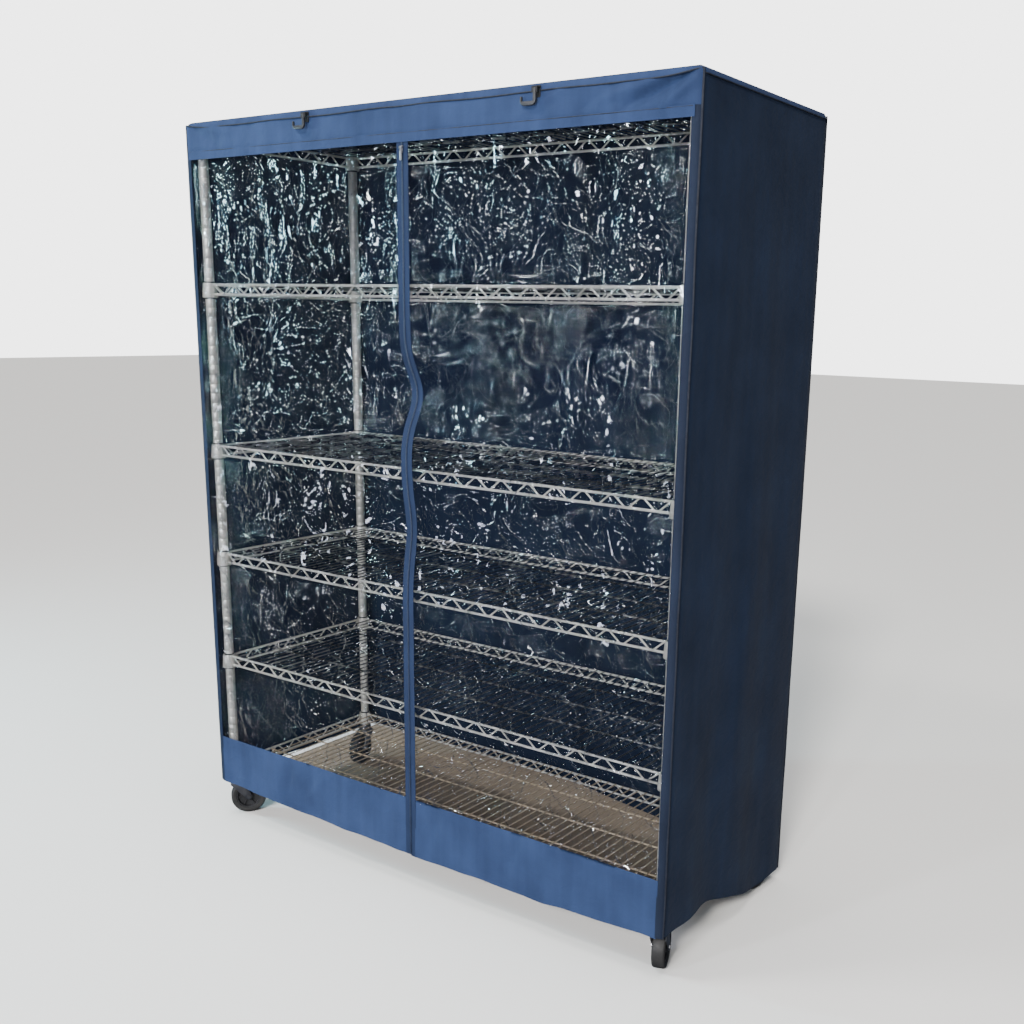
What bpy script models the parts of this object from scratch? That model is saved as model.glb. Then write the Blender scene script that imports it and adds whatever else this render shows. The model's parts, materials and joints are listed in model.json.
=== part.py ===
"""A wheeled wire shelving rack for sheet pans, inside a fitted fabric cover with a clear, zipped front.

Metres, +Z up, X to the right as the zip is faced, the zip on the -Y side. The origin is on the floor, under
the middle of the whole object.
"""
import math

import bmesh
import bpy
from mathutils import Matrix, Vector

INCH = 0.0254

# Cover
COVER_WIDTH, COVER_DEPTH, COVER_HEIGHT = 60 * INCH, 24 * INCH, 72 * INCH
TOTAL_HEIGHT = 76.25 * INCH
HEM_Z = TOTAL_HEIGHT - COVER_HEIGHT
FABRIC, VINYL = 0.0016, 0.0010      # sheet thicknesses
GAP = 0.0004                        # between pieces that meet
HOOK_DEPTH = 0.014                  # the hooks stand this far in front of the cover
FRONT_Y = (HOOK_DEPTH - COVER_DEPTH) / 2
BACK_Y = (HOOK_DEPTH + COVER_DEPTH) / 2
BAND_HEIGHT, HEADER_HEIGHT = 0.074, 0.018
BOTTOM_BAND_HEIGHT = 0.142
CORNER_STRIP = 0.018
TAPE_WIDTH, COIL_WIDTH, COIL_HEIGHT = 0.017, 0.0026, 0.0012

# Rack
POST_X, POST_Y = 0.735, 0.2725      # post centres, either side of the rack's middle
RACK_Y = (FRONT_Y + BACK_Y) / 2
POST_RADIUS, POST_BORE = INCH / 2, 0.0112
POST_FOOT = 5 * INCH
SHELF_DROPS = (0.75, 15.75, 32.75, 44.75, 56.75, 69.75)     # inches from the roof to each deck
COLLAR_TOP, COLLAR_FOOT, COLLAR_BORE, COLLAR_HEIGHT = 0.0175, 0.0205, 0.0137, 0.038
TRUSS_HEIGHT, RAIL, ZIGZAG_WIRE = 0.031, 0.006, 0.004
LONG_ZIGZAGS, SHORT_ZIGZAGS = 9, 3
DECK_WIRE, DECK_THICKNESS, DECK_GAPS = 0.005, 0.004, 14

# Casters
WHEEL_RADIUS, WHEEL_WIDTH, TRAIL = 2 * INCH, 0.032, 0.035
HUB_RADIUS, AXLE_RADIUS, AXLE_HEAD = 0.036, 0.004, 0.0065
FORK_PLATE, FORK_HALF_WIDTH = 0.003, 0.0198
HOOD_Z = 0.106                      # top of the fork's bridge, under the cover's hem
FORK_TOP, CUP_RADIUS = 0.1112, 0.019    # the ring on the fork, and the cup it turns under
CASTERS = {                         # side, depth and the way each wheel trails, in degrees from +X
    "front_left": (-1, -1, 52),
    "front_right": (1, -1, 110),
    "rear_left": (-1, 1, 285),
    "rear_right": (1, 1, 252),
}

# Front opening
SLIT_TOP = TOTAL_HEIGHT - BAND_HEIGHT - HEADER_HEIGHT - GAP
BAND_TOP_Z = HEM_Z + BOTTOM_BAND_HEIGHT
SLIDER_WIDTH, SLIDER_LENGTH, SLIDER_THICKNESS = 0.0096, 0.015, 0.0032
SLIDER_Z = SLIT_TOP - 0.016
PULL_LENGTH, PULL_WIDTH, PULL_THICKNESS = 0.028, 0.0066, 0.0014
LEFT_FOLD_TOP = SLIT_TOP            # the left flap takes its whole tape, slider and all
RIGHT_FOLD_TOP = SLIT_TOP - 0.062   # the right flap folds from below the resting pull tab
HOOK_CENTRES = (-0.322, 0.361)
HOOK_TOP, HOOK_HEIGHT, HOOK_WIDTH, HOOK_BAR = 0.012, 0.033, 0.040, 0.007
HOOK_THICKNESS = 0.006

for old in list(bpy.data.objects):
    bpy.data.objects.remove(old, do_unlink=True)
parts = bpy.data.collections.new("sheet_pan_rack")
cutters = bpy.data.collections.new("cutters")
for collection in (parts, cutters):
    bpy.context.scene.collection.children.link(collection)


def principled(name, colour, roughness, metallic=0.0, alpha=1.0):
    material = bpy.data.materials.new(name)
    material.use_nodes = True
    shader = material.node_tree.nodes["Principled BSDF"]
    shader.inputs["Base Color"].default_value = (*colour, 1.0)
    shader.inputs["Roughness"].default_value = roughness
    shader.inputs["Metallic"].default_value = metallic
    shader.inputs["Alpha"].default_value = alpha
    material.diffuse_color = (*colour, alpha)
    return material


CHROME = principled("chromed_steel", (0.62, 0.60, 0.56), 0.22, 1.0)
ZINC = principled("caster_steel", (0.30, 0.30, 0.31), 0.35, 1.0)
BLACK_PLASTIC = principled("black_plastic", (0.018, 0.018, 0.019), 0.45)
BLACK_RUBBER = principled("black_rubber", (0.012, 0.012, 0.012), 0.7)
BLUE_FABRIC = principled("blue_fabric", (0.085, 0.145, 0.330), 0.85)
NAVY_FABRIC = principled("navy_fabric", (0.030, 0.052, 0.125), 0.88)
CLEAR_VINYL = principled("clear_vinyl", (0.75, 0.80, 0.84), 0.08, 0.0, 0.3)
BLACK_WEBBING = principled("black_webbing", (0.020, 0.020, 0.022), 0.9)


def place(name, mesh, material, matrix=Matrix.Identity(4), origin=(0, 0, 0)):
    """A finished piece, its own origin moved to the given point of its mesh."""
    if not mesh.materials:
        mesh.materials.append(material)
        mesh.shade_smooth()
        mesh.set_sharp_from_angle(angle=math.radians(35))
    mesh.transform(Matrix.Translation(-Vector(origin)))
    piece = bpy.data.objects.new(name, mesh)
    parts.objects.link(piece)
    piece.matrix_world = matrix @ Matrix.Translation(origin)
    return piece


def mesh_of(source):
    """The evaluated mesh of a helper, which is then removed."""
    bpy.context.view_layer.update()
    graph = bpy.context.evaluated_depsgraph_get()
    mesh = bpy.data.meshes.new_from_object(source.evaluated_get(graph))
    mesh.transform(source.matrix_world)
    bpy.data.objects.remove(source, do_unlink=True)
    shape = bmesh.new()
    shape.from_mesh(mesh)
    bmesh.ops.remove_doubles(shape, verts=shape.verts, dist=1e-6)
    bmesh.ops.recalc_face_normals(shape, faces=shape.faces)
    shape.to_mesh(mesh)
    shape.free()
    return mesh


def helper(name, data):
    made = bpy.data.objects.new(name, data)
    cutters.objects.link(made)
    made.hide_render = True
    made.display_type = "WIRE"
    return made


def box(low, high):
    """A box mesh between two corners."""
    low, high = Vector(low), Vector(high)
    size = Matrix.Diagonal((*(high - low), 1.0))
    shape = bmesh.new()
    bmesh.ops.create_cube(shape, size=1.0, matrix=Matrix.Translation((low + high) / 2) @ size)
    mesh = bpy.data.meshes.new("box")
    shape.to_mesh(mesh)
    shape.free()
    return mesh


def extruded(loops, thickness, matrix=Matrix.Identity(4)):
    """A flat outline, its holes after it, made into a plate with its middle on the local XY plane."""
    outline = bpy.data.curves.new("outline", "CURVE")
    outline.dimensions = "2D"
    outline.fill_mode = "BOTH"
    outline.extrude = thickness / 2
    for loop in loops:
        spline = outline.splines.new("POLY")
        spline.points.add(len(loop) - 1)
        spline.use_cyclic_u = True
        for point, (across, up) in zip(spline.points, loop):
            point.co = (across, up, 0, 1)
    plate = helper("outline", outline)
    plate.matrix_world = matrix
    return mesh_of(plate)


def turned(profile, segments, matrix=Matrix.Identity(4)):
    """A profile of (radius, height) points turned about Z. It runs down its outer side."""
    shape = bmesh.new()
    points = [shape.verts.new((radius, 0, height)) for radius, height in profile]
    ring = profile[0][0] > 0 and profile[-1][0] > 0
    for start, end in zip(points, points[1:] + (points[:1] if ring else [])):
        shape.edges.new((start, end))
    mesh = bpy.data.meshes.new("profile")
    shape.to_mesh(mesh)
    shape.free()
    lathe = helper("profile", mesh)
    screw = lathe.modifiers.new("Screw", "SCREW")
    screw.steps = screw.render_steps = segments
    screw.use_merge_vertices = True
    screw.merge_threshold = 0.0001
    lathe.matrix_world = matrix
    return mesh_of(lathe)


def combined(first, others, operation):
    """One mesh, after the others are joined to the first or cut from it in a single step."""
    base = helper("base", first)
    group = bpy.data.collections.new("group")
    cutters.children.link(group)
    for other in others:
        group.objects.link(bpy.data.objects.new("other", other))
    step = base.modifiers.new("Boolean", "BOOLEAN")
    step.operation = operation
    step.operand_type = "COLLECTION"
    step.collection = group
    step.solver = "EXACT"
    mesh = mesh_of(base)
    for other in list(group.objects):
        bpy.data.objects.remove(other, do_unlink=True)
    bpy.data.collections.remove(group)
    return mesh


def upright(y, z=0.0, x=0.0):
    """Stands a plate drawn in XY up in the XZ plane."""
    return Matrix.Translation((x, y, z)) @ Matrix.Rotation(math.pi / 2, 4, "X")


def rectangle(x0, z0, x1, z1):
    return [(x0, z0), (x1, z0), (x1, z1), (x0, z1)]


def arc(centre, radius, start, end, points):
    """Points on an arc, in degrees, both ends included."""
    for step in range(points):
        angle = math.radians(start + (end - start) * step / (points - 1))
        yield (centre[0] + radius * math.cos(angle), centre[1] + radius * math.sin(angle))


# Shelves

def truss(length, zigzags):
    """Two rails joined by a zigzag wire: a plate with a three-cornered hole between each pair of bends."""
    low, high = -TRUSS_HEIGHT + RAIL, -RAIL
    half_pitch = length / zigzags / 2
    slope = math.atan2(high - low, half_pitch)
    inset = ZIGZAG_WIRE / 2 / math.sin(slope)
    drop = ZIGZAG_WIRE / 2 / math.cos(slope)
    loops = [rectangle(-length / 2, -TRUSS_HEIGHT, length / 2, 0)]
    for bend in range(1, 2 * zigzags):
        middle = bend * half_pitch - length / 2
        foot, tip = (low, high - drop) if bend % 2 else (high, low + drop)
        reach = half_pitch - inset
        loops.append([(middle - reach, foot), (middle + reach, foot), (middle, tip)])
    return loops


def deck(length, depth):
    """The deck wires as a plate with long slots, each wire running front to back."""
    pitch = (length - DECK_WIRE) / DECK_GAPS
    edge = depth / 2 - RAIL / 2
    loops = [rectangle(-length / 2, -depth / 2, length / 2, depth / 2)]
    for slot in range(DECK_GAPS):
        left = -length / 2 + DECK_WIRE + slot * pitch
        loops.append(rectangle(left, -edge, left + pitch - DECK_WIRE, edge))
    return loops


def shelf_mesh():
    """One welded shelf, with its deck's top at z = 0 and its middle at the origin."""
    reach_x, reach_y = POST_X - COLLAR_TOP + 0.002, POST_Y - COLLAR_TOP + 0.002
    bodies = []
    for side in (-1, 1):
        long_side = Matrix.Translation((0, side * POST_Y, -0.001)) @ Matrix.Rotation(math.pi / 2, 4, "X")
        short_side = (
            Matrix.Translation((side * POST_X, 0, -0.001))
            @ Matrix.Rotation(math.pi / 2, 4, "Z")
            @ Matrix.Rotation(math.pi / 2, 4, "X")
        )
        bodies.append(extruded(truss(2 * reach_x, LONG_ZIGZAGS), RAIL, long_side))
        bodies.append(extruded(truss(2 * reach_y, SHORT_ZIGZAGS), RAIL, short_side))
        for end in (-1, 1):
            collar = [
                (COLLAR_TOP, 0.0005), (COLLAR_FOOT, 0.0005 - COLLAR_HEIGHT),
                (COLLAR_BORE, 0.0005 - COLLAR_HEIGHT), (COLLAR_BORE, 0.0005),
            ]
            bodies.append(turned(collar, 12, Matrix.Translation((side * POST_X, end * POST_Y, 0))))
    wires = extruded(
        deck(2 * (POST_X - COLLAR_FOOT - 0.004), 2 * POST_Y + 0.004),
        DECK_THICKNESS,
        Matrix.Translation((0, 0, -DECK_THICKNESS / 2)),
    )
    return combined(wires, bodies, "UNION")


shelf = shelf_mesh()
for number, drop in enumerate(SHELF_DROPS, 1):
    height = TOTAL_HEIGHT - drop * INCH
    place(f"shelf_{number}", shelf, CHROME, Matrix.Translation((0, RACK_Y, height)))


# Posts and caps

CAP_TOP = TOTAL_HEIGHT - FABRIC - GAP
POST_TOP = CAP_TOP - 0.004
post = turned(
    [(POST_RADIUS, POST_TOP), (POST_RADIUS, POST_FOOT), (POST_BORE, POST_FOOT), (POST_BORE, POST_TOP)], 20
)
cap = turned(
    [
        (0, CAP_TOP), (0.0118, CAP_TOP), (0.0137, CAP_TOP - 0.0015), (0.0137, POST_TOP + GAP),
        (POST_BORE - GAP, POST_TOP + GAP), (POST_BORE - GAP, POST_TOP - 0.012), (0, POST_TOP - 0.012),
    ],
    20,
)
for corner, (side, depth, _) in CASTERS.items():
    at_post = Matrix.Translation((side * POST_X, RACK_Y + depth * POST_Y, 0))
    place(f"post_{corner}", post, CHROME, at_post)
    place(f"post_cap_{corner}", cap, BLACK_PLASTIC, at_post)


# Casters

def fork_mesh():
    """The swivelling fork, its swivel axis on Z and its wheel trailing towards +X."""
    axle = (TRAIL, WHEEL_RADIUS)
    side = [(-0.017, HOOD_Z), (-0.017, HOOD_Z - 0.012), *arc(axle, 0.009, 200, 390, 7), (0.024, HOOD_Z)]
    cheeks = extruded([side], 2 * FORK_HALF_WIDTH, upright(0))
    inner = FORK_HALF_WIDTH - FORK_PLATE
    slot = box((-0.1, -inner, 0), (0.1, inner, HOOD_Z - FORK_PLATE))
    bore = turned(
        [(0, 0.05), (AXLE_RADIUS + GAP, 0.05), (AXLE_RADIUS + GAP, -0.05), (0, -0.05)], 12,
        Matrix.Translation((TRAIL, 0, WHEEL_RADIUS)) @ Matrix.Rotation(math.pi / 2, 4, "X"),
    )
    ring = turned(
        [
            (0, FORK_TOP), (CUP_RADIUS, FORK_TOP), (CUP_RADIUS + 0.002, FORK_TOP - 0.0022),
            (CUP_RADIUS + 0.002, HOOD_Z - 0.001), (0, HOOD_Z - 0.001),
        ],
        20,
    )
    return combined(combined(cheeks, [slot, bore], "DIFFERENCE"), [ring], "UNION")


def stem_mesh():
    """The part fixed in the post's foot: a stem up the bore and the cup that the fork turns under."""
    return turned(
        [
            (0, POST_FOOT + 0.034), (0.0092, POST_FOOT + 0.034), (POST_BORE - GAP, POST_FOOT + 0.030),
            (POST_BORE - GAP, POST_FOOT - GAP), (0.016, POST_FOOT - GAP), (CUP_RADIUS, POST_FOOT - 0.008),
            (CUP_RADIUS, FORK_TOP + GAP), (0, FORK_TOP + GAP),
        ],
        20,
    )


def wheel_meshes():
    """Hub, tyre and axle bolt about the wheel's centre, with the axle along Y and a flat of the tyre down."""
    across = Matrix.Rotation(math.pi / 2, 4, "X")
    flat_down = across @ Matrix.Rotation(math.pi / 24, 4, "Z")
    half = WHEEL_WIDTH / 2
    bore = AXLE_RADIUS + GAP
    hub = turned(
        [
            (HUB_RADIUS, half - 0.003), (HUB_RADIUS, 0.003 - half), (0.012, -half), (bore, -half),
            (bore, half), (0.012, half),
        ],
        24,
        flat_down,
    )
    inside = HUB_RADIUS + GAP
    tread = WHEEL_RADIUS / math.cos(math.pi / 24)
    tyre = turned(
        [
            (tread - 0.006, half), (tread, half - 0.007), (tread, 0.007 - half), (tread - 0.006, -half),
            (inside, 0.002 - half), (inside, half - 0.002),
        ],
        24,
        flat_down,
    )
    end = FORK_HALF_WIDTH + 0.0045
    head = FORK_HALF_WIDTH + GAP
    axle = turned(
        [
            (0, end), (AXLE_HEAD, end), (AXLE_HEAD, head), (AXLE_RADIUS, head), (AXLE_RADIUS, -head),
            (AXLE_HEAD, -head), (AXLE_HEAD, -end), (0, -end),
        ],
        12,
        across,
    )
    return hub, tyre, axle


fork, stem = fork_mesh(), stem_mesh()
hub, tyre, axle = wheel_meshes()
for corner, (side, depth, trail_angle) in CASTERS.items():
    at_post = Matrix.Translation((side * POST_X, RACK_Y + depth * POST_Y, 0))
    swivelled = at_post @ Matrix.Rotation(math.radians(trail_angle), 4, "Z")
    at_axle = swivelled @ Matrix.Translation((TRAIL, 0, WHEEL_RADIUS))
    place(f"caster_stem_{corner}", stem, ZINC, at_post)
    place(f"caster_fork_{corner}", fork, ZINC, swivelled)
    place(f"caster_axle_{corner}", axle, ZINC, at_axle)
    place(f"caster_hub_{corner}", hub, BLACK_PLASTIC, at_axle)
    place(f"caster_tyre_{corner}", tyre, BLACK_RUBBER, at_axle)


# Cover: roof, back and sides

HALF = COVER_WIDTH / 2
WALL_TOP = TOTAL_HEIGHT - FABRIC - GAP
place("cover_roof", box((-HALF, FRONT_Y, TOTAL_HEIGHT - FABRIC), (HALF, BACK_Y, TOTAL_HEIGHT)), BLUE_FABRIC)
place("cover_back", box((-HALF, BACK_Y - FABRIC, HEM_Z), (HALF, BACK_Y, WALL_TOP)), NAVY_FABRIC)
for side, name in ((-1, "left"), (1, "right")):
    outer, inner = side * HALF, side * (HALF - FABRIC)
    place(
        f"cover_side_{name}",
        box(
            (min(outer, inner), FRONT_Y + FABRIC + GAP, HEM_Z),
            (max(outer, inner), BACK_Y - FABRIC - GAP, WALL_TOP),
        ),
        NAVY_FABRIC,
    )


# Cover: the front

FRONT_MIDDLE = FRONT_Y + FABRIC / 2
band_foot = TOTAL_HEIGHT - BAND_HEIGHT
place("cover_top_band", box((-HALF, FRONT_Y, band_foot), (HALF, FRONT_Y + FABRIC, WALL_TOP)), BLUE_FABRIC)
place(
    "cover_header_strip",
    box((-HALF, FRONT_Y, SLIT_TOP + GAP), (HALF, FRONT_Y + FABRIC, band_foot - GAP)),
    BLUE_FABRIC,
)

PANEL_EDGE = HALF - CORNER_STRIP    # where the clear panels end at the sides


def fold_x(fold_top, z):
    """How far the fold line is from the middle. It runs from the tape's top to the hem's corner."""
    fall = (fold_top - z) / (fold_top - HEM_Z)
    return TAPE_WIDTH + fall * (PANEL_EDGE - TAPE_WIDTH)


def mirrored(points, side):
    return [(side * across, up) for across, up in points]


for side, name, fold_top in ((-1, "left", LEFT_FOLD_TOP), (1, "right", RIGHT_FOLD_TOP)):
    fold_start = (side * TAPE_WIDTH, FRONT_Y, fold_top)
    tape_edge = TAPE_WIDTH + GAP
    crossing = fold_x(fold_top, BAND_TOP_Z)
    lift = GAP * math.hypot(fold_top - HEM_Z, PANEL_EDGE - TAPE_WIDTH) / (fold_top - HEM_Z)
    corner_strip = [
        (HALF, HEM_Z), (HALF, SLIT_TOP), (PANEL_EDGE + GAP, SLIT_TOP), (PANEL_EDGE + GAP, BAND_TOP_Z),
        (crossing + lift, BAND_TOP_Z), (PANEL_EDGE + GAP, HEM_Z + 0.0025),
        (PANEL_EDGE + GAP, HEM_Z),
    ]
    place(
        f"cover_corner_strip_{name}",
        extruded([mirrored(corner_strip, side)], FABRIC, upright(FRONT_MIDDLE)),
        BLUE_FABRIC,
    )
    sewn_panel = [
        (PANEL_EDGE, SLIT_TOP), (PANEL_EDGE, BAND_TOP_Z + GAP), (crossing + lift, BAND_TOP_Z + GAP),
        (tape_edge + lift, fold_top - GAP),
    ]
    if fold_top < SLIT_TOP:
        sewn_panel.append((tape_edge + lift, SLIT_TOP))
    place(
        f"vinyl_sewn_{name}",
        extruded([mirrored(sewn_panel, side)], VINYL, upright(FRONT_MIDDLE)),
        CLEAR_VINYL,
    )
    free_panel = [
        (tape_edge, fold_top - 0.003), (fold_x(fold_top, BAND_TOP_Z) - GAP, BAND_TOP_Z + GAP),
        (tape_edge, BAND_TOP_Z + GAP),
    ]
    place(
        f"vinyl_free_{name}",
        extruded([mirrored(free_panel, side)], VINYL, upright(FRONT_MIDDLE)),
        CLEAR_VINYL,
        origin=fold_start,
    )
    bottom_band = [
        (tape_edge, BAND_TOP_Z), (crossing - GAP, BAND_TOP_Z),
        (PANEL_EDGE - 0.002, HEM_Z), (tape_edge, HEM_Z),
    ]
    place(
        f"bottom_band_{name}",
        extruded([mirrored(bottom_band, side)], FABRIC, upright(FRONT_MIDDLE)),
        BLUE_FABRIC,
        origin=fold_start,
    )
    tape_top = fold_top - (0 if fold_top == SLIT_TOP else GAP)
    tape = mirrored(rectangle(GAP / 2, HEM_Z, TAPE_WIDTH, tape_top), side)
    coil = mirrored(rectangle(GAP / 2, HEM_Z + 0.001, COIL_WIDTH, tape_top - 0.001), side)
    coil_body = extruded([coil], COIL_HEIGHT + 0.0004, upright(FRONT_Y - COIL_HEIGHT / 2 + 0.0002))
    place(
        f"zip_tape_{name}",
        combined(extruded([tape], FABRIC, upright(FRONT_MIDDLE)), [coil_body], "UNION"),
        BLUE_FABRIC,
        origin=fold_start,
    )

stub = rectangle(GAP / 2, RIGHT_FOLD_TOP, TAPE_WIDTH, SLIT_TOP)
place("zip_tape_right_top", extruded([stub], FABRIC, upright(FRONT_MIDDLE)), BLUE_FABRIC)


# Zip slider and pull tab

PIN_Y = FRONT_Y - COIL_HEIGHT - GAP - SLIDER_THICKNESS - 0.0018
PIN_Z = SLIDER_Z + 0.0035
PIN_RADIUS, EAR_X = 0.0008, 0.0032


def slider_mesh():
    """A tapered body in front of the coils, with two ears and the pin that the pull tab hangs on."""
    half, top = SLIDER_WIDTH / 2, SLIDER_LENGTH / 2
    back = FRONT_Y - COIL_HEIGHT - GAP
    outline = [
        (-half, top), (-half, 0.002), (-half * 0.7, -top), (half * 0.7, -top), (half, 0.002), (half, top),
    ]
    body = extruded([outline], SLIDER_THICKNESS, upright(back - SLIDER_THICKNESS / 2, SLIDER_Z))
    ears = [
        box(
            (side * (EAR_X + 0.0006) - 0.0006, PIN_Y - 0.0018, PIN_Z - 0.0022),
            (side * (EAR_X + 0.0006) + 0.0006, back - 0.001, PIN_Z + 0.0022),
        )
        for side in (-1, 1)
    ]
    end = EAR_X + GAP
    pin = turned(
        [(0, end), (PIN_RADIUS, end), (PIN_RADIUS, -end), (0, -end)],
        8,
        Matrix.Translation((0, PIN_Y, PIN_Z)) @ Matrix.Rotation(math.pi / 2, 4, "Y"),
    )
    return combined(body, [*ears, pin], "UNION")


def pull_mesh():
    """The tab, hanging from an eye round the slider's pin."""
    eye = turned(
        [(0.0018, 0.0026), (0.0018, -0.0026), (PIN_RADIUS + 0.0003, -0.0026), (PIN_RADIUS + 0.0003, 0.0026)],
        16,
        Matrix.Translation((0, PIN_Y, PIN_Z)) @ Matrix.Rotation(math.pi / 2, 4, "Y"),
    )
    half, foot = PULL_WIDTH / 2, -PULL_LENGTH
    neck = 0.0022
    tab = [
        (-neck, -0.0014), (-neck, -0.006), (-half, -0.009), (-half, foot + half),
        *arc((0, foot + half), half, 180, 360, 7), (half, -0.009), (neck, -0.006), (neck, -0.0014),
    ]
    hole = list(arc((0, foot + half + 0.001), 0.0018, 0, 315, 8))
    plate = extruded([tab, hole], PULL_THICKNESS, upright(PIN_Y - 0.0002, PIN_Z))
    return combined(plate, [eye], "UNION")


place("zip_slider", slider_mesh(), ZINC, origin=(0, FRONT_Y, SLIDER_Z))
place("zip_pull_tab", pull_mesh(), ZINC, origin=(0, PIN_Y, PIN_Z))


# Hooks that hold the opened flaps, on loops from the roof's front seam

def hook_outline():
    """A hook with a straight shank on the right, an eye at its top and its mouth open to the upper left."""
    right, bar, width, height = HOOK_BAR, HOOK_BAR, HOOK_WIDTH, HOOK_HEIGHT
    left = right - width
    bend = 0.010
    outer = [(right, 0), (right, bend - height), *arc((right - bend, bend - height), bend, 0, -90, 5)]
    outer += [*arc((left + bend, bend - height), bend, -90, -180, 5), (left, 0.45 * -height)]
    inner = [(left + 0.6 * bar, 0.45 * -height), (left + 0.6 * bar, 1.2 * bar - height)]
    inner += [(0, 1.2 * bar - height), (0, 0)]
    return outer + inner


for name, centre in zip(("left", "right"), HOOK_CENTRES):
    seam = TOTAL_HEIGHT - HOOK_TOP
    shank_x = centre + HOOK_WIDTH / 2 - HOOK_BAR
    middle_y = FRONT_Y - HOOK_DEPTH + HOOK_THICKNESS / 2
    shape = extruded([hook_outline()], HOOK_THICKNESS, upright(middle_y, seam - 0.001, shank_x))
    place(f"flap_hook_{name}", shape, BLACK_PLASTIC)
    loop_low = (shank_x - 0.004, FRONT_Y - HOOK_DEPTH + 0.001, seam + GAP)
    loop_high = (shank_x + 0.011, FRONT_Y - GAP, seam + 0.005)
    strap = box(loop_low, loop_high)
    back = box((loop_low[0], FRONT_Y - 0.003, seam - 0.018), (loop_high[0], FRONT_Y - GAP, seam + 0.005))
    place(f"hook_loop_{name}", combined(strap, [back], "UNION"), BLACK_WEBBING)

bpy.context.view_layer.update()
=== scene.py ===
"""A wheeled wire shelving rack for sheet pans, in a blue fabric cover with a clear, zipped front."""
import json
import math

import bmesh
import bpy
from mathutils import Matrix, Vector, noise


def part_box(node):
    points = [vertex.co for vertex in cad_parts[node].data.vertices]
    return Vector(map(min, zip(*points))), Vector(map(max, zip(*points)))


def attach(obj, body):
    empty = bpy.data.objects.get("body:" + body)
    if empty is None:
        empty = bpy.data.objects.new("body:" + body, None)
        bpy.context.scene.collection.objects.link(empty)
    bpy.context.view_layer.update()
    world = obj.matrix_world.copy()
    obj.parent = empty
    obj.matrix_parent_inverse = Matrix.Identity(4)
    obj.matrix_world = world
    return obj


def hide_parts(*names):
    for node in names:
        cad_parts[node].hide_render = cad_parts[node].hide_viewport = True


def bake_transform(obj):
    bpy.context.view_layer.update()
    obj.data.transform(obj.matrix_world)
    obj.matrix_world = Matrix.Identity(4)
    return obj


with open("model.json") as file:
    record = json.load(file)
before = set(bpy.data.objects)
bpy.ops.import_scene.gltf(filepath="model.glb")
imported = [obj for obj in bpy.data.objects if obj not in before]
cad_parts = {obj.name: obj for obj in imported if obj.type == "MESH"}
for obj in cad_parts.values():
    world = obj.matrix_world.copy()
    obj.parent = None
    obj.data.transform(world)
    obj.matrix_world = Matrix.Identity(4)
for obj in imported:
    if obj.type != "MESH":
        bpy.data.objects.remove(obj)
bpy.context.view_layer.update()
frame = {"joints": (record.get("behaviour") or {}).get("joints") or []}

# ---------------------------------------------------------------------------------------------------------------
# Where it stands: a pale floor with a brown mat under the rack, a sun from the front right and a soft one overhead,
# a weaker lamp from the right, and five small lamps whose reflections glint in the clear vinyl. The eye is a little
# above the rack's middle, to its right.

roof_low, roof_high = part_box("cover_roof")
half_width, front_y, back_y, top_z = roof_high.x, roof_low.y, roof_high.y, roof_high.z
hem_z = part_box("cover_back")[0].z
middle_y = (front_y + back_y) / 2

eye = Vector((1.884, front_y - 2.043, top_z - 0.467))
turn, tilt, lean = math.radians(34.32), math.radians(14.24), math.radians(1.33)
ahead = Vector((-math.sin(turn) * math.cos(tilt), math.cos(turn) * math.cos(tilt), -math.sin(tilt)))
level = Vector((math.cos(turn), math.sin(turn), 0))
across = math.cos(lean) * level + math.sin(lean) * level.cross(ahead)
upward = across.cross(ahead)
lens = bpy.data.cameras.new("eye")
lens.lens, lens.sensor_width = 40.16, 36.0
lens.shift_x, lens.shift_y = -0.0575, 0.093
camera = bpy.data.objects.new("eye", lens)
camera.matrix_world = Matrix.Translation(eye) @ Matrix((across, upward, -ahead)).transposed().to_4x4()
bpy.context.scene.collection.objects.link(camera)
bpy.context.scene.camera = camera

shape = bmesh.new()
bmesh.ops.create_grid(shape, x_segments=1, y_segments=1, size=30)
floor_mesh = bpy.data.meshes.new("floor")
shape.to_mesh(floor_mesh)
shape.free()
floor_paint = bpy.data.materials.new("pale_floor")
floor_paint.use_nodes = True
floor_paint.node_tree.nodes["Principled BSDF"].inputs["Base Color"].default_value = (0.88, 0.86, 0.82, 1)
floor_paint.node_tree.nodes["Principled BSDF"].inputs["Roughness"].default_value = 0.7
floor_mesh.materials.append(floor_paint)
floor = bpy.data.objects.new("floor", floor_mesh)
floor.visible_glossy = False
bpy.context.scene.collection.objects.link(floor)


shape = bmesh.new()
bmesh.ops.create_grid(
    shape, x_segments=1, y_segments=1, size=0.5,
    matrix=Matrix.Translation((-0.165, middle_y + 0.26, 0.0008)) @ Matrix.Diagonal((1.53, 0.68, 1, 1)),
)
mat_mesh = bpy.data.meshes.new("mat")
shape.to_mesh(mat_mesh)
shape.free()
mat_paint = bpy.data.materials.new("brown_mat")
mat_paint.use_nodes = True
mat_paint.node_tree.nodes["Principled BSDF"].inputs["Base Color"].default_value = (0.26, 0.20, 0.14, 1)
mat_paint.node_tree.nodes["Principled BSDF"].inputs["Roughness"].default_value = 0.8
mat_mesh.materials.append(mat_paint)
mat = bpy.data.objects.new("mat", mat_mesh)
mat.visible_glossy = False
bpy.context.scene.collection.objects.link(mat)


def lamp(name, place, size, power, colour=(1, 1, 1)):
    """A rectangular lamp aimed at the middle of the rack."""
    light = bpy.data.lights.new(name, "AREA")
    light.shape = "RECTANGLE"
    light.size, light.size_y = size
    light.energy = power
    light.color = colour
    body = bpy.data.objects.new(name, light)
    aim = Vector((0, middle_y, 0.95)) - Vector(place)
    body.matrix_world = Matrix.Translation(place) @ aim.to_track_quat("-Z", "Y").to_matrix().to_4x4()
    bpy.context.scene.collection.objects.link(body)


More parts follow.
